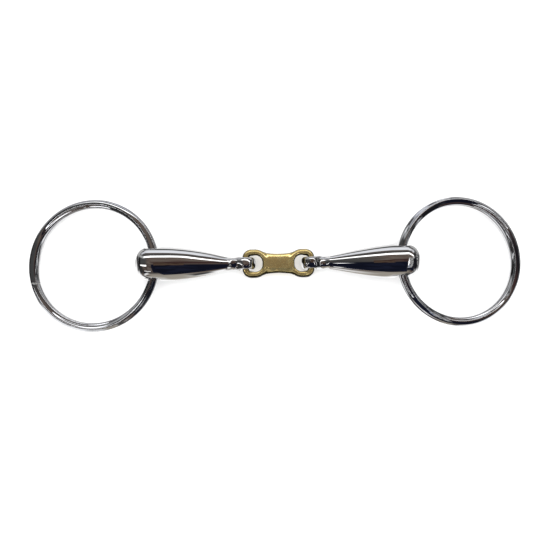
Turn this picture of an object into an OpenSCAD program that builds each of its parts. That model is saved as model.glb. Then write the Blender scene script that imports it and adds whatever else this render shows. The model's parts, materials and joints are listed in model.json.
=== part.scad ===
// Loose ring snaffle bit with hollow cannons and a flat centre link.
//
// The bit lies on a level surface, z = 0, with the mouthpiece along X and its
// middle at the origin. +Y is the far edge of the link and +Z points up.
// Each half is drawn for the right side, outward along +X, and mirrored for
// the left. A cannon is drawn in its own frame: the origin is the middle of
// its eye, +X runs to its butt, and the ring passes through it along Y.

/* [Mouthpiece] */
// Clear mouth width between the rings
mouth_w = 127; // [126:0.5:129]
// Greatest diameter of a cannon
cannon_d = 17.8; // [17:0.1:18.4]
// Diameter of the neck where a cannon meets its eye
neck_d = 6.6; // [6.4:0.1:7]
// Distance from the butt of a cannon to its fattest place
butt_to_fat = 15; // [14:0.5:16]
// Distance from the butt of a cannon to the middle of the ring bore
butt_to_bore = 9.4; // [9.2:0.1:9.6]
// Thickness of the hollow cannon wall
wall = 1.2; // [1.1:0.1:1.3]
// Fullness of the left taper, where 1 is a straight cone
left_fullness = 1.7; // [1.2:0.05:1.8]
// Fullness of the right taper
right_fullness = 1.3; // [1.2:0.05:1.8]

/* [Rings] */
// Outer diameter of a ring
ring_d = 70; // [65:1:75]
// Width of the ring wire in the plane of the ring
wire_w = 4.5; // [4.2:0.1:4.6]
// Thickness of the ring wire across the plane of the ring
wire_t = 4.6; // [4.4:0.1:4.7]
// Radius of the rounded corners of the wire
wire_corner = 1.6; // [1.5:0.1:1.9]
// Play of the ring in its bore, as a radius
ring_play = 0.15; // [0.1:0.05:0.2]

/* [Centre link] */
// Length of the link over its ends
link_l = 38.5; // [37.6:0.1:39]
// Width of the link across an end
link_w = 15.3; // [15:0.1:15.6]
// Width of the link at its waist
waist_w = 10.3; // [9.8:0.1:11]
// Thickness of the plate
link_t = 3.8; // [3.6:0.1:4]
// Diameter of the round bar at each end of the link
bar_d = 3.4; // [3.2:0.1:3.5]
// Radius of the outer corners of the link
corner_r = 4.4; // [4.2:0.1:4.6]
// Width of the hole in each end of the link
link_hole_w = 8.5; // [8.2:0.1:8.6]
// Length of the hole in each end of the link
link_hole_l = 7.1; // [6.8:0.1:7.4]

/* [Eyes] */
// Outer diameter of the eye of a cannon
eye_d = 10.6; // [10.4:0.1:10.8]
// Diameter of the hole in the eye
eye_hole_d = 4.2; // [4:0.1:4.3]
// Width of the eye along its hole
eye_w = 6.2; // [6:0.1:6.4]

/* [Hidden] */
$fn = 96;

LEFT = -1;
RIGHT = 1;
steel = "silver";
bright_steel = "gainsboro";
brass = "darkgoldenrod";

// Link: a plate with a waist, two arms at each end, and a round bar across them
bar_r = bar_d / 2;
bar_x = link_l / 2 - bar_r;
corner_x = link_l / 2 - corner_r;
corner_y = link_w / 2 - corner_r;
waist_r = (corner_x * corner_x + pow(waist_w / 2 - corner_y, 2) - corner_r * corner_r)
    / (2 * (corner_y + corner_r - waist_w / 2));
waist_angle = atan(corner_x / (waist_w / 2 + waist_r - corner_y));
hole_end = link_l / 2 - bar_d;
hole_corner_r = 3.4;
bar_overlap = 1.5;

// Ring and the bore that it slides through
corner_w = wire_w / 2 - wire_corner;
corner_t = wire_t / 2 - wire_corner;
wire_r = norm([corner_w, corner_t]) + wire_corner;
ring_r = ring_d / 2 - wire_w / 2;
cannon_r = cannon_d / 2;
liner_wall = 0.55;
// How far the curved wire wanders from straight between the middle and the mouth of the bore
wander = ring_r - sqrt(ring_r * ring_r - cannon_r * cannon_r);
bore_offset = wander / 2;
bore_r = wire_r + wander / 2 + ring_play;
liner_r = bore_r + liner_wall;
liner_half = sqrt(cannon_r * cannon_r - liner_r * liner_r) - 0.25;
turning_gap = 0.05;

// Cannon, measured from the middle of its eye
bore_x = mouth_w / 2 + wire_w / 2 + bore_offset - bar_x;
butt_x = bore_x + butt_to_bore;
fat_x = butt_x - butt_to_fat;
neck_r = neck_d / 2;
neck_x = 9.5;
neck_blend = 0.3;
crest = 0.12;
butt_power = 5.5;
shell_x = 10;
cap_x = bore_x + liner_r + 1.2;
shell_steps = 36;
cap_steps = 14;
spigot_r = 2;
spigot_l = 7;
spigot_gap = 0.02;
lip_l = 1;

// Eye
eye_r = eye_d / 2;
eye_hole_r = eye_hole_d / 2;
eye_corner_r = (eye_r - eye_hole_r) / 2;
eye_mid_r = eye_hole_r + eye_corner_r;
eye_flat = eye_w / 2 - eye_corner_r;
shoulder_r = 3.5;
shoulder_x = 4.8;
shoulder_start = 2.6;

// Rest: the eyes, the cannons and the far side of the rings all lie on the surface
link_z = eye_r;
left_tilt = settled(0, left_fullness, 8);
right_tilt = settled(0, right_fullness, 8);

// Radius of a cannon at x: a blunt dome to the butt, and a full taper to the neck that is
// rounded over where it starts
function dome(x) = cannon_r * sqrt(max(0, 1 - pow(max(0, x - fat_x) / butt_to_fat, butt_power)));
function soft_power(u, fullness) = pow(u * u + crest * crest, fullness / 2) - pow(crest, fullness);
function taper_fall(x, fullness) =
    soft_power((fat_x - x) / (fat_x - neck_x), fullness) / soft_power(1, fullness);
function taper(x, fullness) =
    neck_r + neck_blend * ln(1 + exp((cannon_r - neck_r) * (1 - taper_fall(x, fullness)) / neck_blend));
function cannon_radius(x, fullness) = x > fat_x ? dome(x) : taper(x, fullness);

// Height of the lowest place of a cannon that is raised by an angle at its butt
function lowest(angle, fullness) = min([
    for (x = steps(neck_x, butt_x, 60))
        link_z + x * sin(angle) - cannon_radius(x, fullness) * cos(angle)
]);
function settled(angle, fullness, count) =
    count == 0 ? angle : settled(angle - atan(lowest(angle, fullness) / fat_x), fullness, count - 1);

// A ring hangs from its bore with the far side of its wire on the surface
function bore_z(tilt) = link_z + bore_x * sin(tilt);
function wire_drop(angle) = corner_w * sin(angle) + corner_t * cos(angle) + wire_corner;
function hang(height, drop) = asin((height - drop) / (2 * ring_r - bore_offset));
function ring_tilt(height) = hang(height, wire_drop(hang(height, wire_t / 2)));

function steps(from, to, count) = [for (i = [0:count]) from + (to - from) * i / count];
// The same steps, closing up towards the far end, for a dome that turns over there
function easing_steps(from, to, count) =
    [for (i = [0:count]) from + (to - from) * sin(90 * i / count)];

// One quarter of the link's outline, from its waist round to its end
function link_quarter() = concat(
    [for (a = steps(0, waist_angle, 8))
        [waist_r * sin(a), waist_w / 2 + waist_r * (1 - cos(a))]],
    [for (a = steps(-waist_angle, 90, 10)) if (a > -waist_angle)
        [corner_x + corner_r * sin(a), corner_y + corner_r * cos(a)]]);
function mirrored(points, sx, sy) = [for (p = points) [sx * p[0], sy * p[1]]];
function reversed(points) = [for (i = [len(points) - 1:-1:0]) points[i]];
function inner(points) = [for (i = [1:len(points) - 1]) points[i]];

module link_outline() {
    quarter = link_quarter();
    polygon(concat(
        quarter,
        reversed(inner(mirrored(quarter, 1, -1))),
        mirrored(quarter, -1, -1),
        reversed(inner(mirrored(quarter, -1, 1)))));
}

module centre_link() {
    color(brass)
        translate([0, 0, link_z]) {
            difference() {
                translate([0, 0, -link_t / 2])
                    linear_extrude(link_t)
                        link_outline();
                for (s = [LEFT, RIGHT])
                    mirror([s == LEFT ? 1 : 0, 0, 0])
                        translate([0, 0, -link_t])
                            linear_extrude(2 * link_t)
                                link_hole();
            }
            for (s = [LEFT, RIGHT])
                translate([s * bar_x, 0, 0])
                    rotate([90, 0, 0])
                        cylinder(h = link_hole_w + 2 * bar_overlap, r = bar_r, center = true);
        }
}

// Open past the end of the link, where the round bar crosses it
module link_hole() {
    start_x = hole_end - link_hole_l;
    translate([start_x + hole_corner_r, -link_hole_w / 2])
        square([link_l, link_hole_w]);
    translate([start_x, hole_corner_r - link_hole_w / 2])
        square([link_l, link_hole_w - 2 * hole_corner_r]);
    for (sy = [-1, 1])
        translate([start_x + hole_corner_r, sy * (link_hole_w / 2 - hole_corner_r)])
            circle(r = hole_corner_r);
}

// Turns a profile of [radius, x] points about the cannon's own axis
module turned(points) {
    rotate([0, 90, 0])
        rotate_extrude()
            polygon(points);
}

module eye(fullness) {
    difference() {
        union() {
            rotate([90, 0, 0])
                rotate_extrude() {
                    for (s = [-1, 1])
                        translate([eye_mid_r, s * eye_flat])
                            circle(r = eye_corner_r);
                    translate([eye_hole_r, -eye_flat])
                        square([2 * eye_corner_r, 2 * eye_flat]);
                }
            turned([
                [0, shoulder_start], [shoulder_r - 0.6, shoulder_start], [shoulder_r, shoulder_x],
                for (x = steps(neck_x - 1.5, shell_x, 4)) [cannon_radius(x, fullness), x],
                [spigot_r, shell_x], [spigot_r, shell_x + spigot_l], [0, shell_x + spigot_l]
            ]);
        }
        rotate([90, 0, 0])
            cylinder(h = eye_d, r = eye_hole_r, center = true);
    }
}

module cannon_shell(fullness) {
    outside = [for (x = steps(shell_x, fat_x, shell_steps)) [cannon_radius(x, fullness), x]];
    bulge = [for (x = steps(fat_x, cap_x, 6)) if (x > fat_x) [dome(x), x]];
    small_bore = spigot_r + spigot_gap;
    inside = [for (x = steps(cap_x, shell_x, shell_steps))
        [max(small_bore, cannon_radius(x, fullness) - wall), x]];
    difference() {
        turned(concat(outside, bulge, inside));
        translate([bore_x, 0, 0])
            rotate([90, 0, 0])
                cylinder(h = 2 * cannon_d, r = liner_r + turning_gap, center = true);
    }
}

module butt_cap() {
    seat_r = dome(cap_x) - wall - spigot_gap;
    inner_x = butt_x - wall;
    turned(concat(
        [[seat_r - wall, cap_x - lip_l], [seat_r, cap_x - lip_l], [seat_r, cap_x]],
        [for (x = easing_steps(cap_x, butt_x, cap_steps)) [dome(x), x]],
        [[0, inner_x], [seat_r - 3 * wall, inner_x], [seat_r - wall, cap_x]]));
}

module bore_liner() {
    rotate([90, 0, 0])
        difference() {
            cylinder(h = 2 * liner_half, r = liner_r, center = true);
            cylinder(h = 3 * liner_half, r = bore_r, center = true);
        }
}

// The ring is one rod with flattened sides, bent round through the bore and welded shut
module ring() {
    translate([ring_r - bore_offset, 0, 0])
        rotate_extrude() {
            for (sw = [-1, 1], st = [-1, 1])
                translate([ring_r + sw * corner_w, st * corner_t])
                    circle(r = wire_corner);
            translate([ring_r - wire_w / 2, -corner_t])
                square([wire_w, 2 * corner_t]);
            translate([ring_r - corner_w, -wire_t / 2])
                square([2 * corner_w, wire_t]);
        }
}

// Places a piece drawn in a cannon's frame on the left or the right of the bit
module on_cannon(side) {
    mirror([side == LEFT ? 1 : 0, 0, 0])
        translate([bar_x, 0, link_z])
            rotate([0, side == LEFT ? -left_tilt : -right_tilt, 0])
                children();
}

// Places a piece drawn about the bore on the left or the right of the bit
module on_bore(side) {
    tilt = side == LEFT ? left_tilt : right_tilt;
    mirror([side == LEFT ? 1 : 0, 0, 0])
        translate([bar_x + bore_x * cos(tilt), 0, bore_z(tilt)])
            rotate([0, ring_tilt(bore_z(tilt)), 0])
                children();
}

centre_link();
color(steel) on_cannon(LEFT) eye(left_fullness);  // left_eye
color(bright_steel) on_cannon(LEFT) cannon_shell(left_fullness);  // left_cannon_shell
color(bright_steel) on_cannon(LEFT) butt_cap();  // left_butt_cap
color(steel) on_bore(LEFT) bore_liner();  // left_bore_liner
color(steel) on_bore(LEFT) ring();  // left_ring
color(steel) on_cannon(RIGHT) eye(right_fullness);  // right_eye
color(bright_steel) on_cannon(RIGHT) cannon_shell(right_fullness);  // right_cannon_shell
color(bright_steel) on_cannon(RIGHT) butt_cap();  // right_butt_cap
color(steel) on_bore(RIGHT) bore_liner();  // right_bore_liner
color(steel) on_bore(RIGHT) ring();  // right_ring
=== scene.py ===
"""Looks of a loose ring snaffle bit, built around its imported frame. Metres, bit lying on z = 0."""
import json
import math

import bmesh
import bpy
import numpy as np
from mathutils import Matrix, Vector


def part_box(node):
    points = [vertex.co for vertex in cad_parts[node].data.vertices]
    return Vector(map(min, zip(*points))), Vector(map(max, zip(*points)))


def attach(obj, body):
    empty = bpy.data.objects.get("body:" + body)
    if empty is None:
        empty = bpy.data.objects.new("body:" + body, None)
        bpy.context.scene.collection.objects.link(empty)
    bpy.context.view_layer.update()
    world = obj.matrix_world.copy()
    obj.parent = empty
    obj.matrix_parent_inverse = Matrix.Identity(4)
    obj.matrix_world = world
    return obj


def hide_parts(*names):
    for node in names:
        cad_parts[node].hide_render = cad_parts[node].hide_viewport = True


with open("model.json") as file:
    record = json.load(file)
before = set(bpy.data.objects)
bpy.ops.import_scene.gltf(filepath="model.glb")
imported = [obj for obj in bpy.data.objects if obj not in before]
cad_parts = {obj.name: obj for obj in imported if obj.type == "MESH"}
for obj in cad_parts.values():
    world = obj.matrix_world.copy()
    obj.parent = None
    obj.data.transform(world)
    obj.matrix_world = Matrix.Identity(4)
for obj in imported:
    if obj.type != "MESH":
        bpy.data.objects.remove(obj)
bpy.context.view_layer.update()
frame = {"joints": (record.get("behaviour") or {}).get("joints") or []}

MM = 0.001
JOINTS = {joint["name"]: joint for joint in frame["joints"]}
SIDES = ("left", "right")

# Cannon, in mm, measured from the middle of its eye along its own axis
CANNON_R = 8.88
NECK_R = 3.3
NECK_X = 9.5
NECK_BLEND = 0.3
CREST = 0.12
FAT_X = 43.21
BUTT_TO_FAT = 15.0
BUTT_POWER = 5.5
FULLNESS = {"left": 1.7, "right": 1.3}
SHELL_X = 10.0
WALL = 1.2
LINER_R = 3.87
LINER_BORE_R = 3.32
LINER_HALF = 7.76
LINER_GAP = 0.05
CAP_GAP = 1.2
MOUTH_ROUNDING = 1.1

# Eye, in mm
EYE_R = 5.3
EYE_HOLE_R = 2.1
EYE_HALF_W = 3.1

# Link, in mm
BAR_X = 17.55
LINK_CORNER_X = 14.85
LINK_HALF_W = 7.65
WAIST_HALF_W = 5.15

# Ring, in mm
WIRE_HALF_W = 2.25
WIRE_HALF_T = 2.3
WIRE_SQUARENESS = 2.25

# Spacing of the grid that each shape is meshed on, in mm, and steps round and across a swept one
CANNON_STEP = 0.36
EYE_STEP = 0.25
LINK_STEP = 0.26
RING_STEPS = (720, 48)
LINER_STEPS = (96, 64)

# Place, diameter in metres and power in watts of each lamp
LAMPS = {"key": ((0.25, 0.7, 1.1), 1.6, 12), "fill": ((-0.5, -0.6, 1.1), 1.8, 9)}


# ---------------------------------------------------------------- solid shapes as distance fields

def length(*parts):
    return np.sqrt(sum(part * part for part in parts))


def smooth_min(a, b, k):
    h = np.maximum(k - np.abs(a - b), 0) / k
    return np.minimum(a, b) - h * h * k / 4


def smooth_max(a, b, k):
    return -smooth_min(-a, -b, k)


def rounded(u, v, half_u, half_v, r):
    """Distance to a rectangle with round corners."""
    qu = np.abs(u) - half_u + r
    qv = np.abs(v) - half_v + r
    outside = length(np.maximum(qu, 0), np.maximum(qv, 0))
    return outside + np.minimum(np.maximum(qu, qv), 0) - r


def surface_net(field, low, high, step):
    """Vertices and faces of the field's zero surface, one vertex to a cell that it crosses."""
    axes = [np.arange(l, h + step, step) for l, h in zip(low, high)]
    grid = np.stack(np.meshgrid(*axes, indexing="ij"), -1)
    value = field(grid)
    cells = np.array(value.shape) - 1

    def at(corner):
        return value[tuple(slice(c, c + n) for c, n in zip(corner, cells))]

    total = np.zeros((*cells, 3))
    count = np.zeros(tuple(cells))
    for axis in range(3):
        for i in (0, 1):
            for j in (0, 1):
                start = [i, j]
                start.insert(axis, 0)
                end = list(start)
                end[axis] = 1
                va, vb = at(start), at(end)
                crossed = (va < 0) != (vb < 0)
                point = np.broadcast_to(np.array(start, float), (int(crossed.sum()), 3)).copy()
                point[:, axis] = va[crossed] / (va[crossed] - vb[crossed])
                total[crossed] += point
                count[crossed] += 1
    used = count > 0
    index = np.full(tuple(cells), -1)
    index[used] = np.arange(int(used.sum()))
    points = np.array(low) + step * (np.argwhere(used) + total[used] / count[used][:, None])

    faces = []
    inside = value < 0
    for axis in range(3):
        u, v = (axis + 1) % 3, (axis + 2) % 3
        start = np.take(inside, range(cells[axis]), axis)
        end = np.take(inside, range(1, cells[axis] + 1), axis)
        edges = np.argwhere(start != end)
        edges = edges[(edges[:, u] > 0) & (edges[:, v] > 0)]
        edges = edges[(edges[:, u] < cells[u]) & (edges[:, v] < cells[v])]
        around = []
        for du, dv in ((-1, -1), (0, -1), (0, 0), (-1, 0)):
            cell = edges.copy()
            cell[:, u] += du
            cell[:, v] += dv
            around.append(index[tuple(cell.T)])
        quad = np.stack(around, 1)
        flip = ~start[tuple(edges.T)]
        quad[flip] = quad[flip][:, ::-1]
        faces.append(quad)
    return points, np.concatenate(faces)


def gradient(field, points, reach=0.02):
    out = np.empty_like(points)
    for axis in range(3):
        shift = np.zeros(3)
        shift[axis] = reach
        out[:, axis] = (field(points + shift) - field(points - shift)) / (2 * reach)
    return out


def unit(vectors):
    return vectors / np.maximum(np.linalg.norm(vectors, axis=1, keepdims=True), 1e-9)


def settled(field, points, rounds=4):
    """Moves points onto the field's zero surface."""
    for _ in range(rounds):
        slope = gradient(field, points)
        points = points - slope * (field(points) / np.maximum((slope ** 2).sum(1), 1e-6))[:, None]
    return points


# ---------------------------------------------------------------- meshes

class Place:
    """A local frame in mm: where a shape drawn about its own origin goes, in metres."""

    def __init__(self, origin, ex, ez):
        self.origin = np.array(origin, float)
        ex = np.array(ex, float) / np.linalg.norm(ex)
        ez = np.array(ez, float) - ex * np.dot(ez, ex)
        ez /= np.linalg.norm(ez)
        self.turn = np.stack([ex, np.cross(ez, ex), ez], 1)

    def shown(self, points):
        return points @ self.turn.T * MM + self.origin


def make_object(name, points, faces, normals, place):
    """A smooth mesh shaded by the shape's own exact normals, that remembers its local coordinates."""
    mesh = bpy.data.meshes.new(name)
    mesh.from_pydata(place.shown(points).tolist(), [], [list(map(int, f)) for f in faces])
    own = mesh.attributes.new("own_place", "FLOAT_VECTOR", "POINT")
    own.data.foreach_set("vector", (points * MM).ravel())
    normals = normals @ place.turn.T
    mesh.polygons.foreach_set("use_smooth", [True] * len(mesh.polygons))
    mesh.update()
    if len(normals) == len(points):
        mesh.normals_split_custom_set_from_vertices(normals.tolist())
    else:
        mesh.normals_split_custom_set(normals.tolist())
    piece = bpy.data.objects.new(name, mesh)
    bpy.context.scene.collection.objects.link(piece)
    return piece


def cut_solid(points, faces, cuts):
    """Trims a mesh by planes across local X, each (x, keep side), and closes the cuts flat."""
    bm = bmesh.new()
    verts = [bm.verts.new(p) for p in points]
    for face in faces:
        bm.faces.new([verts[i] for i in face])
    for x, keep in cuts:
        geometry = bm.verts[:] + bm.edges[:] + bm.faces[:]
        bmesh.ops.bisect_plane(bm, geom=geometry, plane_co=(x, 0, 0), plane_no=(-keep, 0, 0),
                               clear_outer=True, dist=1e-6)
        rim = [e for e in bm.edges if e.is_boundary]
        if rim:
            bmesh.ops.triangle_fill(bm, edges=rim, use_beauty=True, normal=(-keep, 0, 0))
    bm.verts.index_update()
    new_points = np.array([v.co[:] for v in bm.verts])
    new_faces = [[v.index for v in f.verts] for f in bm.faces]
    bm.free()
    return new_points, new_faces


def field_piece(name, field, low, high, step, place, cuts=()):
    """A piece from a distance field in mm, with flat faces where it is cut."""
    points, faces = surface_net(field, low, high, step)
    points = settled(field, points)
    if not cuts:
        return make_object(name, points, faces, unit(gradient(field, points)), place)
    points, faces = cut_solid(points, faces, cuts)
    smooth = unit(gradient(field, points))
    normals = []
    for face in faces:
        flat = None
        for x, keep in cuts:
            if np.abs(points[face, 0] - x).max() < 1e-4:
                flat = (-keep, 0, 0)
        normals += [flat if flat else smooth[i] for i in face]
    return make_object(name, points, faces, np.array(normals, float), place)


def sheet_piece(name, surface, n_u, n_v, place):
    """A piece from surface(u, v), with u round the piece and v round its section, both 0 to 1."""
    u, v = np.meshgrid(np.arange(n_u) / n_u, np.arange(n_v) / n_v, indexing="ij")
    small = 1e-4
    points = surface(u, v)
    du = surface(u + small, v) - surface(u - small, v)
    dv = surface(u, v + small) - surface(u, v - small)
    normals = unit(np.cross(du, dv).reshape(-1, 3))
    ring = np.arange(n_u)[:, None]
    step = np.arange(n_v)[None, :]
    quads = [ring * n_v + step, (ring + 1) % n_u * n_v + step,
             (ring + 1) % n_u * n_v + (step + 1) % n_v, ring * n_v + (step + 1) % n_v]
    faces = np.stack([np.broadcast_to(q, (n_u, n_v)) for q in quads], -1).reshape(-1, 4)
    return make_object(name, points.reshape(-1, 3), faces, normals, place)


# ---------------------------------------------------------------- shapes of the pieces, in mm

def soft_power(share, fullness):
    return (share * share + CREST * CREST) ** (fullness / 2) - CREST ** fullness


def taper_radius(x, fullness):
    share = np.clip((FAT_X - x) / (FAT_X - NECK_X), 0, None)
    fall = soft_power(share, fullness) / soft_power(1, fullness)
    return NECK_R + NECK_BLEND * np.log1p(np.exp((CANNON_R - NECK_R) * (1 - fall) / NECK_BLEND))


def cannon_field(fullness, inset=0.0):
    """The whole turned outside of a cannon, from its shank to its butt."""
    def field(p):
        x, rho = p[..., 0], length(p[..., 1], p[..., 2])
        reach = 0.05
        slope = (taper_radius(x + reach, fullness) - taper_radius(x - reach, fullness)) / (2 * reach)
        body = (rho - taper_radius(x, fullness) + inset) / np.sqrt(1 + slope ** 2)
        out = np.maximum(x - FAT_X, 0) / (BUTT_TO_FAT - inset)
        across = rho / (CANNON_R - inset)
        dome = (out ** BUTT_POWER + across ** 2) ** 0.5
        steep = length(BUTT_POWER * out ** (BUTT_POWER - 1) / (BUTT_TO_FAT - inset),
                       2 * across / (CANNON_R - inset)) / np.maximum(2 * dome, 1e-6)
        return np.where(x > FAT_X, (dome - 1) / np.maximum(steep, 1e-3), body)
    return field


def shell_field(fullness, bore_x):
    outside, inside = cannon_field(fullness), cannon_field(fullness, WALL)

    def field(p):
        bore = LINER_R + LINER_GAP - length(p[..., 0] - bore_x, p[..., 2])
        hollow = smooth_max(inside(p), 16.0 - p[..., 0], 2.0)
        wall = np.maximum(outside(p), -hollow)
        return smooth_max(wall, bore, MOUTH_ROUNDING)
    return field


def eye_field(fullness):
    """A forged eye: a round-backed ring about Y that runs through a waist into the cannon."""
    shank_start = 3.0
    waist_x = 7.6
    ring_mid = (EYE_R + EYE_HOLE_R) / 2
    ring_half = (EYE_R - EYE_HOLE_R) / 2
    power = 2.5
    outside = cannon_field(fullness)

    def field(p):
        x, y, z = p[..., 0], p[..., 1], p[..., 2]
        rho = length(x, z)
        ring = np.abs((rho - ring_mid) / ring_half) ** power + np.abs(y / EYE_HALF_W) ** power
        ring = (ring ** (1 / power) - 1) * ring_half
        waist = 0.32 * np.exp(-((x - waist_x) / 1.3) ** 2)
        shank = smooth_max(outside(p) + waist * (z / NECK_R) ** 2, shank_start - x, 1.0)
        cheeks = np.abs(y) + 0.55 * np.abs(z) - 3.62 - 0.12 * np.maximum(x - waist_x, 0)
        shank = smooth_max(shank, cheeks, 0.5)
        whole = smooth_min(ring, shank, 1.5)
        return smooth_max(whole, EYE_HOLE_R - rho, 0.6)
    return field


def link_field():
    """A cast link: a round bar bent into a loop at each end of a waisted plate."""
    bar_r = 1.7
    loop_r = 1.8
    loop_in = 7.2
    loop_mid = (BAR_X + loop_in) / 2
    loop_half_l = (BAR_X - loop_in) / 2
    loop_half_w = LINK_HALF_W - loop_r
    waist_r = 41.0
    plate_half_t = 1.85
    plate_flat_y = 2.7
    plate_fall = 0.36
    plate_edge = 1.0

    def field(p):
        x, y, z = np.abs(p[..., 0]), np.abs(p[..., 1]), p[..., 2]
        corner = np.where(x < loop_mid, 5.4, 2.8)
        path = rounded(x - loop_mid, y, loop_half_l, loop_half_w, corner)
        thick = loop_r + (bar_r - loop_r) * np.clip((x - LINK_CORNER_X) / 2, 0, 1)
        loop = length(path, z) - thick
        side = waist_r - length(x, y - WAIST_HALF_W - waist_r)
        past = y - plate_flat_y
        pillow = plate_fall / 2 * (past + np.sqrt(past * past + 0.5))
        qs, qz = side + plate_edge, np.abs(z) - plate_half_t + pillow + plate_edge
        flat = length(np.maximum(qs, 0), np.maximum(qz, 0)) + np.minimum(np.maximum(qs, qz), 0) - plate_edge
        flat = smooth_max(flat, x - loop_in - 0.6, 0.8)
        whole = smooth_min(loop, flat, 1.2)
        hole = rounded(x - 12.3, y, 3.55, 4.25, 3.5)
        return smooth_max(whole, -hole, 0.9)
    return field


def ring_surface(radius, weld_angle, swell, spread):
    """Wire of a ring, near round, thickened inwards where it was welded."""
    def surface(u, v):
        psi = 2 * np.pi * u
        q = 2 * np.pi * v - np.pi / 2
        from_weld = (psi - math.radians(weld_angle) + np.pi) % (2 * np.pi) - np.pi
        weld = np.exp(-(from_weld / math.radians(spread)) ** 2)
        c, s = np.cos(q), np.sin(q)
        power = 2 / WIRE_SQUARENESS
        a = np.sign(c) * np.abs(c) ** power
        b = np.sign(s) * np.abs(s) ** power
        r = radius - swell / 2 * weld + a * (WIRE_HALF_W + swell / 2 * weld)
        flatten = 1 - 0.06 * weld
        return np.stack([r * np.cos(psi), r * np.sin(psi), b * WIRE_HALF_T * flatten], -1)
    return surface


def liner_surface(u, v):
    """A short tube with softly rounded ends, about its own Z axis."""
    mid = (LINER_R + LINER_BORE_R) / 2
    half = (LINER_R - LINER_BORE_R) / 2
    q = 2 * np.pi * v - np.pi / 2
    a = np.sign(np.cos(q)) * np.abs(np.cos(q)) ** 0.2
    b = np.sign(np.sin(q)) * np.abs(np.sin(q)) ** 0.2
    r = mid + a * half
    psi = 2 * np.pi * u
    return np.stack([r * np.cos(psi), r * np.sin(psi), b * LINER_HALF], -1)


# ---------------------------------------------------------------- materials

class Nodes:
    """Small helper for building a node tree."""

    def __init__(self, tree):
        self.tree = tree

    def add(self, kind, **settings):
        node = self.tree.nodes.new(kind)
        for name, value in settings.items():
            setattr(node, name, value)
        return node

    def put(self, socket, value):
        if hasattr(value, "is_output"):
            self.tree.links.new(value, socket)
        else:
            socket.default_value = value

    def math(self, operation, a, b=0.0, c=0.0):
        node = self.add("ShaderNodeMath", operation=operation)
        for socket, value in zip(node.inputs, (a, b, c)):
            self.put(socket, value)
        return node.outputs[0]

    def span(self, value, low, high, to_low=0.0, to_high=1.0):
        """Eases from one value to another as the input goes from low to high."""
        node = self.add("ShaderNodeMapRange", interpolation_type="SMOOTHSTEP")
        for name, v in (("Value", value), ("From Min", low), ("From Max", high),
                        ("To Min", to_low), ("To Max", to_high)):
            self.put(node.inputs[name], v)
        return node.outputs[0]

    def noise(self, vector, scale, detail=2.0, roughness=0.5):
        node = self.add("ShaderNodeTexNoise")
        self.put(node.inputs["Vector"], vector)
        self.put(node.inputs["Scale"], scale)
        self.put(node.inputs["Detail"], detail)
        self.put(node.inputs["Roughness"], roughness)
        return node.outputs["Fac"]

    def mix(self, share, a, b):
        """One colour to another; 6 and 7 are the node's colour sockets, and its colour output is 2."""
        node = self.add("ShaderNodeMix", data_type="RGBA")
        self.put(node.inputs[0], share)
        self.put(node.inputs[6], a)
        self.put(node.inputs[7], b)
        return node.outputs[2]

    def scaled(self, vector, x, y, z):
        node = self.add("ShaderNodeVectorMath", operation="MULTIPLY")
        self.put(node.inputs[0], vector)
        node.inputs[1].default_value = (x, y, z)
        return node.outputs[0]

    def bump(self, height, strength, distance, normal=None):
        node = self.add("ShaderNodeBump")
        self.put(node.inputs["Strength"], strength)
        self.put(node.inputs["Distance"], distance)
        self.put(node.inputs["Height"], height)
        if normal is not None:
            self.put(node.inputs["Normal"], normal)
        return node.outputs[0]


def rgba(colour):
    """A colour as a node socket takes it."""
    return (*colour, 1.0)


def new_material(name):
    material = bpy.data.materials.new(name)
    material.use_nodes = True
    nodes = Nodes(material.node_tree)
    shader = material.node_tree.nodes["Principled BSDF"]
    shader.inputs["Metallic"].default_value = 1.0
    where = nodes.add("ShaderNodeAttribute", attribute_name="own_place").outputs["Vector"]
    return material, nodes, shader, where


def polished_steel(name, tint, dull, smooth, worn):
    """Polished stainless steel: fine lengthwise polishing lines, faint smears and hairline marks."""
    material, nodes, shader, where = new_material(name)
    lines = nodes.noise(nodes.scaled(where, 90, 2600, 2600), 1.0, 3.0)
    smears = nodes.noise(where, 140, 3.0)
    spots = nodes.noise(where, 900, 2.0)
    marks = nodes.span(nodes.noise(nodes.scaled(where, 260, 1500, 400), 1.0, 4.0, 0.7), 0.64, 0.74)
    shade = nodes.math("MULTIPLY_ADD", nodes.span(smears, 0.35, 0.7), 0.7,
                       nodes.math("MULTIPLY", spots, 0.3))
    nodes.put(shader.inputs["Base Color"], nodes.mix(shade, rgba(tint), rgba(dull)))
    rough = nodes.span(smears, 0.3, 0.75, smooth, worn)
    nodes.put(shader.inputs["Roughness"], nodes.math("MULTIPLY_ADD", marks, 0.05, rough))
    fine = nodes.bump(lines, 0.05, 0.00003)
    nodes.put(shader.inputs["Normal"], nodes.bump(marks, 0.06, 0.00004, fine))
    return material


def forge_marked_steel():
    """Polished over forging marks: shallow dents that break the reflections up."""
    material, nodes, shader, where = new_material("forged_steel")
    dents = nodes.noise(where, 190, 0.0)
    smears = nodes.noise(where, 700, 3.0)
    lines = nodes.noise(nodes.scaled(where, 2600, 500, 2600), 1.0, 2.0)
    nodes.put(shader.inputs["Base Color"], nodes.mix(smears, (0.82, 0.82, 0.82, 1), (0.64, 0.64, 0.645, 1)))
    nodes.put(shader.inputs["Roughness"], nodes.span(smears, 0.3, 0.7, 0.02, 0.08))
    fine = nodes.bump(lines, 0.1, 0.00003)
    nodes.put(shader.inputs["Normal"], nodes.bump(dents, 1.0, 0.0016, fine))
    return material


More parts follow.
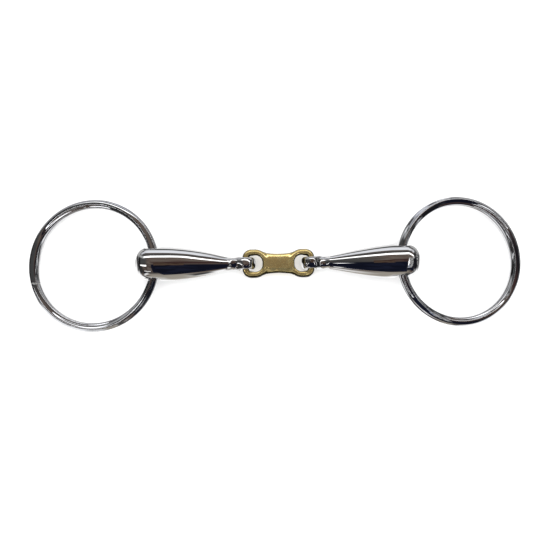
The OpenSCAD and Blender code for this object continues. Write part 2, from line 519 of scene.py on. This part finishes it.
def cast_brass():
    """Satin cast yellow metal: fine grain, uneven polish, and painted shade, dark olive, on the upright
    edges, heaviest on the near side.
    """
    material, nodes, shader, where = new_material("satin_yellow_metal")
    patches = nodes.noise(where, 230, 4.0, 0.6)
    grain = nodes.noise(where, 4200, 3.0, 0.6)
    brushed = nodes.noise(nodes.scaled(where, 300, 5200, 5200), 1.0, 2.0)
    rubbed = nodes.span(nodes.noise(where, 420, 3.0), 0.45, 0.62)
    body = nodes.mix(nodes.span(patches, 0.3, 0.7), (0.86, 0.665, 0.285, 1), (0.72, 0.55, 0.225, 1))
    body = nodes.mix(nodes.math("MULTIPLY", rubbed, 0.5), body, (0.92, 0.78, 0.38, 1))
    # Painted shade: upright surfaces, more so on the near side, get a dark olive colour with less metal and
    # more roughness
    split = nodes.add("ShaderNodeSeparateXYZ")
    nodes.put(split.inputs[0], nodes.add("ShaderNodeTexCoord").outputs["Normal"])
    upright = nodes.math("MULTIPLY_ADD", patches, 0.3, nodes.math("ABSOLUTE", split.outputs[2]))
    upright = nodes.math("MULTIPLY_ADD", split.outputs[1], 0.24, upright)
    painted_edge_shade = nodes.span(upright, 1.06, 0.88)
    nodes.put(shader.inputs["Base Color"], nodes.mix(painted_edge_shade, body, (0.010, 0.008, 0.002, 1)))
    nodes.put(shader.inputs["Metallic"], nodes.math("MULTIPLY_ADD", painted_edge_shade, -0.70, 0.88))
    nodes.put(shader.inputs["Specular IOR Level"], nodes.math("MULTIPLY_ADD", painted_edge_shade, -0.4, 0.5))
    rough = nodes.span(patches, 0.3, 0.7, 0.09, 0.15)
    nodes.put(shader.inputs["Roughness"], nodes.math("MULTIPLY_ADD", painted_edge_shade, 0.12, rough))
    cast = nodes.bump(grain, 0.05, 0.00002)
    nodes.put(shader.inputs["Normal"], nodes.bump(brushed, 0.05, 0.00002, cast))
    return material


def wire_steel(name, radius, seam_angle):
    """Drawn and polished rod: die lines that wander round the wire, painted shade on the flanks, a paler
    weld seam.
    """
    material, nodes, shader, where = new_material(name)
    split = nodes.add("ShaderNodeSeparateXYZ")
    nodes.put(split.inputs[0], nodes.scaled(where, 1 / MM, 1 / MM, 1 / MM))
    x, y, z = split.outputs
    out = nodes.math("SQRT", nodes.math("ADD", nodes.math("MULTIPLY", x, x), nodes.math("MULTIPLY", y, y)))
    across = nodes.math("SUBTRACT", out, radius)
    round_wire = nodes.math("ARCTAN2", across, z)
    spun = nodes.add("ShaderNodeCombineXYZ")
    nodes.put(spun.inputs[0], nodes.math("MULTIPLY", x, 0.030))
    nodes.put(spun.inputs[1], nodes.math("MULTIPLY", y, 0.030))
    nodes.put(spun.inputs[2], nodes.math("MULTIPLY", round_wire, 1.25))
    broad = nodes.noise(spun.outputs[0], 1.0, 0.0)
    fine = nodes.noise(spun.outputs[0], 3.0, 2.0)
    # Painted shade: the flanks, near the plane of the ring, are painted darker than its two faces and given
    # a duller specular tint
    flank_shade_fade = nodes.span(nodes.math("ABSOLUTE", z), 0.2, 1.1)
    smears = nodes.noise(where, 160, 3.0)
    spots = nodes.noise(where, 1100, 2.0)
    shade = nodes.math("MULTIPLY_ADD", nodes.span(smears, 0.35, 0.7), 0.6,
                       nodes.math("MULTIPLY", spots, 0.4))
    colour = nodes.mix(shade, (0.74, 0.75, 0.775, 1), (0.62, 0.63, 0.655, 1))
    colour = nodes.mix(flank_shade_fade, (0.34, 0.34, 0.35, 1), colour)
    nodes.put(shader.inputs["Specular Tint"], nodes.mix(flank_shade_fade, (0.4, 0.4, 0.4, 1), (0.9, 0.9, 0.9, 1)))
    rough = nodes.span(smears, 0.3, 0.75, 0.008, 0.022)
    seam = nodes.math("ARCTAN2", y, x)
    seam = nodes.math("MULTIPLY", nodes.math("SUBTRACT", seam, math.radians(seam_angle)), radius)
    seam = nodes.math("ABSOLUTE", nodes.math("MULTIPLY_ADD", across, 0.35, seam))
    mark = nodes.span(seam, 0.40, 0.12)
    nodes.put(shader.inputs["Base Color"], nodes.mix(mark, colour, (0.93, 0.93, 0.90, 1)))
    nodes.put(shader.inputs["Roughness"], nodes.math("MULTIPLY_ADD", mark, 0.5, rough))
    drawn = nodes.bump(broad, 1.0, 0.0015)
    drawn = nodes.bump(fine, 1.0, 0.00001, drawn)
    nodes.put(shader.inputs["Normal"], nodes.bump(mark, 0.8, 0.0001, drawn))
    return material


# ---------------------------------------------------------------- the bit

def joint_point(name):
    return np.array(JOINTS[name]["pos_m"], float)


def cannon_place(side):
    eye, bore = joint_point(f"{side}_fold"), joint_point(f"{side}_swing")
    return Place(eye, bore - eye, (0, 0, 1)), float(np.linalg.norm(bore - eye) / MM)


def wear(piece, material, body, slot, *nodes):
    piece.data.materials.append(material)
    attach(piece, body)
    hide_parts(*nodes)


def build_cannon(side, mirror, forged):
    place, bore_x = cannon_place(side)
    fullness = FULLNESS[side]
    butt_x = FAT_X + BUTT_TO_FAT
    cap_x = bore_x + LINER_R + CAP_GAP
    around = CANNON_R + 1

    shell = field_piece(f"{side}_hollow_cannon", shell_field(fullness, bore_x),
                        (SHELL_X - 1, -around, -around), (cap_x + 1, around, around), CANNON_STEP, place,
                        cuts=((SHELL_X, 1), (cap_x, -1)))
    wear(shell, mirror, f"{side}_cannon", "mirror_steel", f"{side}_cannon_shell")

    outside, inside = cannon_field(fullness), cannon_field(fullness, WALL)
    cap = field_piece(f"{side}_domed_cap", lambda p: np.maximum(outside(p), -inside(p)),
                      (cap_x - 1, -around, -around), (butt_x + 1, around, around), CANNON_STEP, place,
                      cuts=((cap_x, 1),))
    wear(cap, mirror, f"{side}_cannon", "mirror_steel", f"{side}_butt_cap")

    eye = field_piece(f"{side}_forged_eye", eye_field(fullness),
                      (-EYE_R - 1, -5, -EYE_R - 1), (SHELL_X + 1, 5, EYE_R + 1), EYE_STEP, place,
                      cuts=((SHELL_X, -1),))
    wear(eye, forged, f"{side}_cannon", "forged_steel", f"{side}_eye")


def build_ring(side, weld_angle, swell, spread, seam_angle):
    """Ring and liner share a frame: X away from the bore, Z along the ring's axis."""
    centre, bore = joint_point(f"{side}_spin"), joint_point(f"{side}_swing")
    axis = JOINTS[f"{side}_spin"]["axis"]
    place = Place(centre, centre - bore, axis)
    low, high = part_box(f"{side}_ring")
    radius = (high[1] - low[1]) / 2 / MM - WIRE_HALF_W
    steel = wire_steel(f"ring_steel_{side}", radius, seam_angle)
    wire = ring_surface(radius, weld_angle, swell, spread)
    ring = sheet_piece(f"{side}_loose_ring", wire, *RING_STEPS, place)
    wear(ring, steel, f"{side}_ring", "ring_steel", f"{side}_ring")

    tube_place = Place(bore, centre - bore, (0, 1, 0))
    liner = sheet_piece(f"{side}_bore_sleeve", liner_surface, *LINER_STEPS, tube_place)
    wear(liner, polished_steel(f"liner_steel_{side}", (0.76, 0.76, 0.76), (0.66, 0.66, 0.66), 0.05, 0.12),
         f"{side}_liner", "liner_steel", f"{side}_bore_liner")


def build_link():
    middle = (joint_point("left_fold") + joint_point("right_fold")) / 2
    place = Place(middle, (1, 0, 0), (0, 0, 1))
    link = field_piece("dog_bone_link", link_field(), (-20, -8.5, -2.6), (20, 8.5, 2.6), LINK_STEP, place)
    wear(link, cast_brass(), "link", "brass", "centre_link")


# ---------------------------------------------------------------- stage, light and camera

def build_floor():
    mesh = bpy.data.meshes.new("floor")
    size = 3.0
    mesh.from_pydata([(-size, -size, 0), (size, -size, 0), (size, size, 0), (-size, size, 0)], [],
                     [(0, 1, 2, 3)])
    floor = bpy.data.objects.new("floor", mesh)
    bpy.context.scene.collection.objects.link(floor)
    material = bpy.data.materials.new("pale_floor")
    material.use_nodes = True
    shader = material.node_tree.nodes["Principled BSDF"]
    shader.inputs["Base Color"].default_value = (0.93, 0.93, 0.93, 1)
    shader.inputs["Roughness"].default_value = 0.9
    shader.inputs["Specular IOR Level"].default_value = 0.1
    mesh.materials.append(material)
    floor.visible_glossy = False


def seen_as(red, green, blue):
    """Brightness that polished steel shows as the given 8-bit screen colour."""
    reflectance = 0.78
    linear = []
    for value in (red, green, blue):
        share = value / 255
        curve = share / 12.92 if share < 0.04 else ((share + 0.055) / 1.055) ** 2.4
        linear.append(curve / reflectance)
    return tuple(linear)


def grey(value):
    return seen_as(value, value, value)


GLARE = (2.5, 2.5, 2.5)

# The studio as a mirror ball lying below it would show it: straight up is (0, 0), the far side is
# up, the horizon is 0.71 out and the table is the rim. Each panel is middle, half size, turn in
# degrees, softness and colour, and a later one covers an earlier one.
PANELS = {
    "ceiling, left": ((-0.55, 0.05), (0.42, 0.55), 0, 0.25, grey(66)),
    "far wall, left": ((-0.66, 0.0), (0.10, 0.50), 0, 0.35, grey(22)),
    "near wall, left": ((-0.52, -0.36), (0.42, 0.20), 28, 0.45, grey(46)),
    "dark coat": ((0.03, -0.33), (0.36, 0.27), 0, 0.1, seen_as(17, 19, 31)),
    "dark bag": ((0.17, 0.045), (0.17, 0.075), 12, 0.3, seen_as(60, 44, 42)),
    "doorway, right": ((0.50, -0.14), (0.15, 0.33), 10, 0.2, (0.012, 0.012, 0.015)),
    "shelf, right": ((0.47, 0.33), (0.12, 0.10), -30, 0.5, grey(44)),
    "window, far": ((-0.02, 0.71), (0.26, 0.085), 0, 0.12, seen_as(222, 224, 230)),
    "window, far left": ((-0.34, 0.62), (0.15, 0.05), 28, 0.5, seen_as(206, 208, 216)),
    "window, far right": ((0.30, 0.585), (0.15, 0.06), -40, 0.3, seen_as(222, 224, 230)),
    "wall between the windows": ((-0.02, 0.52), (0.34, 0.06), 0, 0.3, (0.085, 0.08, 0.078)),
    "window, near": ((-0.09, 0.395), (0.24, 0.045), 6, 0.2, GLARE),
    "window, near left": ((-0.46, 0.40), (0.19, 0.06), -14, 0.7, grey(165)),
    "window, near right": ((0.24, 0.34), (0.14, 0.035), -40, 0.3, GLARE),
    "tube lamp, left": ((-0.27, -0.22), (0.10, 0.013), 58, 0.3, GLARE),
    "tube lamp, right": ((0.12, -0.18), (0.012, 0.13), 0, 0.3, GLARE),
    "lamp, lowest left": ((-0.20, -0.62), (0.10, 0.05), 18, 0.4, grey(215)),
    "spot, right": ((0.36, 0.17), (0.03, 0.045), 0, 0.6, grey(215)),
}
TABLE = {
    "shade beyond the left ring": ((-0.80, 0.06), (0.055, 0.36), 0, 0.25, grey(16)),
    "shade beyond the right ring": ((0.80, 0.0), (0.05, 0.34), 0, 0.25, grey(22)),
    "table, near": ((0.04, -0.82), (0.13, 0.19), 0, 0.7, seen_as(150, 144, 134)),
    "far edge of the table": ((0.0, 0.835), (0.42, 0.030), 0, 0.4, grey(44)),
    "far rim": ((0.0, 0.95), (0.40, 0.07), 0, 0.3, grey(226)),
    "near edge of the table, left": ((-0.24, -0.865), (0.15, 0.018), -14, 0.5, grey(60)),
    "near edge of the table, right": ((0.20, -0.79), (0.05, 0.07), 0, 0.5, grey(60)),
}


def painted(nodes, colour, place, panels):
    """Lays soft-edged panels over a colour."""
    for middle, half_size, turn, softness, paint in panels.values():
        mapping = nodes.add("ShaderNodeMapping", vector_type="TEXTURE")
        nodes.put(mapping.inputs["Vector"], place)
        mapping.inputs["Location"].default_value = (*middle, 0)
        mapping.inputs["Rotation"].default_value = (0, 0, math.radians(turn))
        mapping.inputs["Scale"].default_value = (*half_size, 1)
        size = nodes.add("ShaderNodeVectorMath", operation="ABSOLUTE")
        nodes.put(size.inputs[0], mapping.outputs[0])
        split = nodes.add("ShaderNodeSeparateXYZ")
        nodes.put(split.inputs[0], size.outputs[0])
        reach = nodes.math("MAXIMUM", split.outputs[0], split.outputs[1])
        colour = nodes.mix(nodes.span(reach, 1 + softness, 1 - softness), colour, rgba(paint))
    return colour


def build_world():
    """A room over a pale table: dim ceiling, windows on the far side, lamps at the ends.

    Only the steel sees it. Diffuse rays get an even white, and the camera a plain pale backdrop.
    """
    world = bpy.data.worlds.new("studio")
    world.use_nodes = True
    bpy.context.scene.world = world
    nodes = Nodes(world.node_tree)
    background = world.node_tree.nodes["Background"]
    direction = nodes.add("ShaderNodeTexCoord").outputs["Generated"]
    split = nodes.add("ShaderNodeSeparateXYZ")
    nodes.put(split.inputs[0], direction)
    lift = nodes.math("SQRT", nodes.math("MULTIPLY_ADD", split.outputs[2], 2.0, 2.0001))
    x = nodes.math("DIVIDE", split.outputs[0], lift)
    y = nodes.math("DIVIDE", split.outputs[1], lift)
    joined = nodes.add("ShaderNodeCombineXYZ")
    nodes.put(joined.inputs[0], x)
    nodes.put(joined.inputs[1], y)
    place = joined.outputs[0]

    wobble = nodes.noise(place, 9.0, 2.0)
    ceiling = nodes.mix(nodes.span(wobble, 0.3, 0.7), rgba(seen_as(86, 74, 68)), rgba(seen_as(102, 93, 86)))
    shelves = nodes.span(nodes.noise(place, 15.0, 3.0), 0.42, 0.6)
    clutter = nodes.mix(shelves, rgba(grey(52)), rgba(grey(158)))
    room = nodes.mix(nodes.span(x, 0.36, 0.41), ceiling, clutter)
    room = painted(nodes, room, place, PANELS)
    table = nodes.mix(nodes.span(y, -0.15, 0.35), rgba(grey(250)), rgba(grey(166)))
    out = nodes.math("SQRT", nodes.math("ADD", nodes.math("MULTIPLY", x, x), nodes.math("MULTIPLY", y, y)))
    lit = nodes.mix(nodes.span(out, 0.72, 0.86), room, table)
    lit = painted(nodes, lit, place, TABLE)
    rays = nodes.add("ShaderNodeLightPath")
    lit = nodes.mix(rays.outputs["Is Diffuse Ray"], lit, (1.1, 1.1, 1.1, 1))
    lit = nodes.mix(rays.outputs["Is Camera Ray"], lit, (0.95, 0.95, 0.95, 1))
    nodes.put(background.inputs["Color"], lit)
    background.inputs["Strength"].default_value = 1.0
    world.cycles.sampling_method = "NONE"


def build_card(name, corners, dark, light, scale):
    """A card over the bit that only the steel sees."""
    mesh = bpy.data.meshes.new(name)
    mesh.from_pydata(corners, [], [(0, 1, 2, 3)])
    card = bpy.data.objects.new(name, mesh)
    bpy.context.scene.collection.objects.link(card)
    material = bpy.data.materials.new(name)
    material.use_nodes = True
    nodes = Nodes(material.node_tree)
    shader = material.node_tree.nodes["Principled BSDF"]
    shader.inputs["Base Color"].default_value = (0, 0, 0, 1)
    shader.inputs["Roughness"].default_value = 1.0
    shader.inputs["Specular IOR Level"].default_value = 0.0
    where = nodes.add("ShaderNodeTexCoord").outputs["Object"]
    folds = nodes.span(nodes.noise(where, scale, 2.0), 0.38, 0.62)
    nodes.put(shader.inputs["Emission Color"], nodes.mix(folds, rgba(dark), rgba(light)))
    shader.inputs["Emission Strength"].default_value = 1.0
    mesh.materials.append(material)
    card.visible_camera = False
    card.visible_diffuse = False
    card.visible_shadow = False


def strip(x0, x1, y0, y1, z):
    return [(x0, y0, z), (x1, y0, z), (x1, y1, z), (x0, y1, z)]


def build_cards():
    """The camera and the dark sleeves over it, and low lamps and screens beyond each butt."""
    build_card("dark_sleeves", [(-0.053, -0.086, 0.368), (0.078, -0.086, 0.368),
                                (0.137, -0.33, 0.05), (-0.065, -0.33, 0.05)],
               seen_as(15, 17, 28), seen_as(24, 27, 42), 14)
    build_card("camera_body", strip(-0.058, 0.075, -0.092, 0.03, 0.372),
               seen_as(54, 38, 34), seen_as(76, 62, 52), 14)
    low = 0.09
    build_card("screen_left", strip(-0.165, -0.069, -0.164, -0.010, low + 0.002),
               seen_as(66, 58, 54), seen_as(94, 85, 80), 36)
    build_card("lamp_left", strip(-0.252, -0.091, -0.029, -0.015, low), GLARE, GLARE, 5)
    build_card("lamp_low_left", strip(-0.135, -0.076, -0.124, -0.104, low), grey(225), grey(245), 5)
    build_card("screen_right", strip(0.088, 0.130, -0.104, 0.027, low + 0.002), grey(42), grey(186), 120)
    build_card("lamp_right", strip(0.0855, 0.0885, -0.037, 0.020, low), grey(60), GLARE, 260)
    build_card("lamp_low_right", strip(0.091, 0.097, -0.093, -0.047, low),
               seen_as(70, 78, 100), seen_as(170, 178, 205), 160)


def build_lights():
    """Two broad soft lamps for the table; the steel only mirrors the studio round it."""
    for name, (where, size, power) in LAMPS.items():
        lamp = bpy.data.lights.new(name, "AREA")
        lamp.shape = "DISK"
        lamp.size = size
        lamp.energy = power
        holder = bpy.data.objects.new(name, lamp)
        holder.location = where
        holder.rotation_euler = (-Vector(where)).to_track_quat("-Z", "Y").to_euler()
        holder.visible_glossy = False
        bpy.context.scene.collection.objects.link(holder)


def build_camera():
    """Nearly overhead, a little to the left of the link and to the near side."""
    distance = 0.380
    yaw, pitch, roll = math.radians(-2.45), math.radians(4.33), math.radians(-0.93)
    target = Vector((-0.0020, -0.0063, 0.006))
    back = Vector((math.sin(yaw) * math.cos(pitch), -math.sin(pitch), math.cos(yaw) * math.cos(pitch)))
    data = bpy.data.cameras.new("camera")
    data.lens = 46.5
    data.sensor_width = 36.0
    camera = bpy.data.objects.new("camera", data)
    camera.location = target + back * distance
    right = Vector((0, 1, 0)).cross(back).normalized()
    up = back.cross(right)
    across = right * math.cos(roll) + up * math.sin(roll)
    turned = Matrix((across, back.cross(across), back)).transposed()
    camera.rotation_euler = turned.to_euler()
    bpy.context.scene.collection.objects.link(camera)
    bpy.context.scene.camera = camera


build_camera()
build_floor()
build_world()
build_cards()
build_lights()
bpy.context.scene.view_settings.view_transform = "Standard"

mirror_steel = polished_steel("mirror_steel", (0.80, 0.80, 0.80), (0.74, 0.74, 0.74), 0.012, 0.035)
forged_steel = forge_marked_steel()
for side in SIDES:
    build_cannon(side, mirror_steel, forged_steel)
build_ring("left", -8, 0.72, 15, 16)
build_ring("right", 20, 0.6, 40, -200)
build_link()
